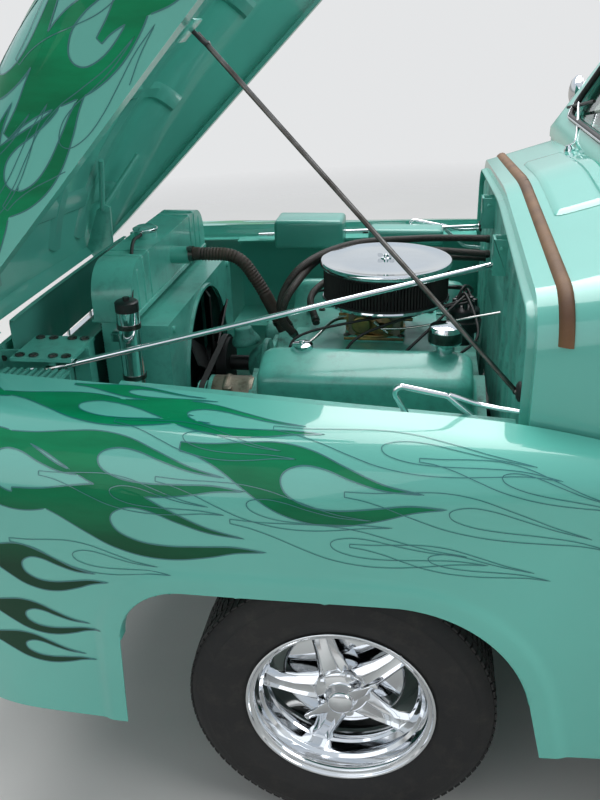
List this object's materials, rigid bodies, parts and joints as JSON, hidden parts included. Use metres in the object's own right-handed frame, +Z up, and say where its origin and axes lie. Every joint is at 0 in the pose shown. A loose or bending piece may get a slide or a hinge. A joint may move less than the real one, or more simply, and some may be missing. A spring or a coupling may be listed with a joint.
{
  "type": "classic step-side pickup truck",
  "caption": "Step-side pickup truck with pontoon fenders, tilting front hood propped open over a dressed V engine, hinged doors and tailgate, steered front wheels and a flat load box.",
  "frame": {"origin": "bottom centre of the whole truck's box as parked with its hood propped open", "axes": "+X forward, +Y to the truck's left, +Z up"},
  "size_m": [4.96, 1.916, 2.0802],
  "materials": {
    "body_paint": "gloss seafoam green enamel",
    "flamed_paint": "gloss seafoam green enamel with darker green candy flames and fine pinstripes",
    "engine_paint": "gloss seafoam green engine enamel",
    "frame_black": "satin black chassis paint",
    "chrome": "bright chrome plate",
    "cast_metal": "used cast aluminium with a film of grime",
    "filter_black": "black pleated filter element",
    "hose_rubber": "dull black rubber hose",
    "tyre": "black rubber",
    "glass": "clear safety glass, faint green",
    "lamp_glass": "clear fluted lamp glass",
    "red_lens": "red lens in a bright ring",
    "seat_vinyl": "tan pleated vinyl",
    "wheel_black": "black moulded rim on bright spokes",
    "exhaust_steel": "dull aluminised steel"
  },
  "bodies": {
    "chassis": {"air_cleaner": "chrome", "air_filter": "filter_black", "cab": "body_paint", "cab_glass": "glass", "carburettor": "cast_metal", "chrome_rods": "chrome", "cowl": "body_paint", "cross_members": "frame_black", "dashboard": "body_paint", "engine_block": "engine_paint", "exhaust": "exhaust_steel", "fan_shroud": "engine_paint", "frame_rails": "frame_black", "front_bumper": "chrome", "front_fenders": "flamed_paint", "front_panel": "body_paint", "fuel_tank": "frame_black", "grille": "chrome", "headlamp_bezels": "chrome", "headlamp_lenses": "lamp_glass", "hood_hinge_brackets": "engine_paint", "inner_fenders": "body_paint", "intake_manifold": "cast_metal", "leaf_springs": "frame_black", "load_box": "body_paint", "oil_caps": "chrome", "overflow_can": "chrome", "prop_grommets": "filter_black", "radiator": "engine_paint", "radiator_hose": "hose_rubber", "rear_axle": "frame_black", "rear_bumper": "chrome", "rear_fenders": "body_paint", "running_boards": "body_paint", "seat_back": "seat_vinyl", "seat_cushion": "seat_vinyl", "steering_column": "body_paint", "suspension_arms": "frame_black", "tail_lamps": "red_lens", "valve_covers": "engine_paint"},
    "hood": {"hood": "flamed_paint"},
    "hood_prop": {"prop_rod": "chrome"},
    "door_left": {"door_left": "body_paint", "door_glass_left": "glass"},
    "door_right": {"door_right": "body_paint", "door_glass_right": "glass"},
    "tailgate": {"tailgate": "body_paint"},
    "knuckle_left": {"knuckle_left": "frame_black"},
    "knuckle_right": {"knuckle_right": "frame_black"},
    "steering_wheel": {"steering_wheel": "wheel_black"},
    "fan": {"fan": "frame_black"},
    "wheel_front_left": {"rim_front_left": "chrome", "tyre_front_left": "tyre"},
    "wheel_front_right": {"rim_front_right": "chrome", "tyre_front_right": "tyre"},
    "wheel_rear_left": {"rim_rear_left": "chrome", "tyre_rear_left": "tyre"},
    "wheel_rear_right": {"rim_rear_right": "chrome", "tyre_rear_right": "tyre"}
  },
  "joints": [
    {"name": "hood_tilt", "type": "hinge", "parent": "chassis", "child": "hood", "pos_m": [2.377, 0, 0.94], "axis": [0, 1, 0], "range_deg": [-45, 0]},
    {"name": "prop_fold", "type": "hinge", "parent": "chassis", "child": "hood_prop", "pos_m": [1.1185, 0.69, 1.026], "axis": [0, 1, 0], "range_deg": [0, 56.25]},
    {"name": "door_left_swing", "type": "hinge", "parent": "chassis", "child": "door_left", "pos_m": [0.875, 0.874, 0.9], "axis": [0, 0, 1], "range_deg": [-65, 0]},
    {"name": "door_right_swing", "type": "hinge", "parent": "chassis", "child": "door_right", "pos_m": [0.875, -0.874, 0.9], "axis": [0, 0, 1], "range_deg": [0, 65]},
    {"name": "tailgate_drop", "type": "hinge", "parent": "chassis", "child": "tailgate", "pos_m": [-2.294, 0, 0.592], "axis": [0, 1, 0], "range_deg": [-90, 0]},
    {"name": "steer_left", "type": "hinge", "parent": "chassis", "child": "knuckle_left", "pos_m": [1.45, 0.62, 0.335], "axis": [0, 0, 1], "range_deg": [-28, 28]},
    {"name": "steer_right", "type": "hinge", "parent": "chassis", "child": "knuckle_right", "pos_m": [1.45, -0.62, 0.335], "axis": [0, 0, 1], "range_deg": [-28, 28]},
    {"name": "steering_turn", "type": "hinge", "parent": "chassis", "child": "steering_wheel", "pos_m": [0.545, 0.37, 1.13], "axis": [-0.8657, 0, 0.5006], "range_deg": [-336, 336]},
    {"name": "fan_spin", "type": "hinge", "parent": "chassis", "child": "fan", "pos_m": [1.9, 0, 0.78], "axis": [1, 0, 0], "continuous": true},
    {"name": "spin_front_left", "type": "hinge", "parent": "knuckle_left", "child": "wheel_front_left", "pos_m": [1.45, 0.77, 0.335], "axis": [0, 1, 0], "continuous": true},
    {"name": "spin_front_right", "type": "hinge", "parent": "knuckle_right", "child": "wheel_front_right", "pos_m": [1.45, -0.77, 0.335], "axis": [0, 1, 0], "continuous": true},
    {"name": "spin_rear_left", "type": "hinge", "parent": "chassis", "child": "wheel_rear_left", "pos_m": [-1.344, 0.77, 0.335], "axis": [0, 1, 0], "continuous": true},
    {"name": "spin_rear_right", "type": "hinge", "parent": "chassis", "child": "wheel_rear_right", "pos_m": [-1.344, -0.77, 0.335], "axis": [0, 1, 0], "continuous": true}
  ],
  "couplings": [
    {"joint": "prop_fold", "follows": "hood_tilt", "ratio": -1.25},
    {"joint": "steer_right", "follows": "steer_left", "ratio": 1},
    {"joint": "steering_turn", "follows": "steer_left", "ratio": 12}
  ]
}
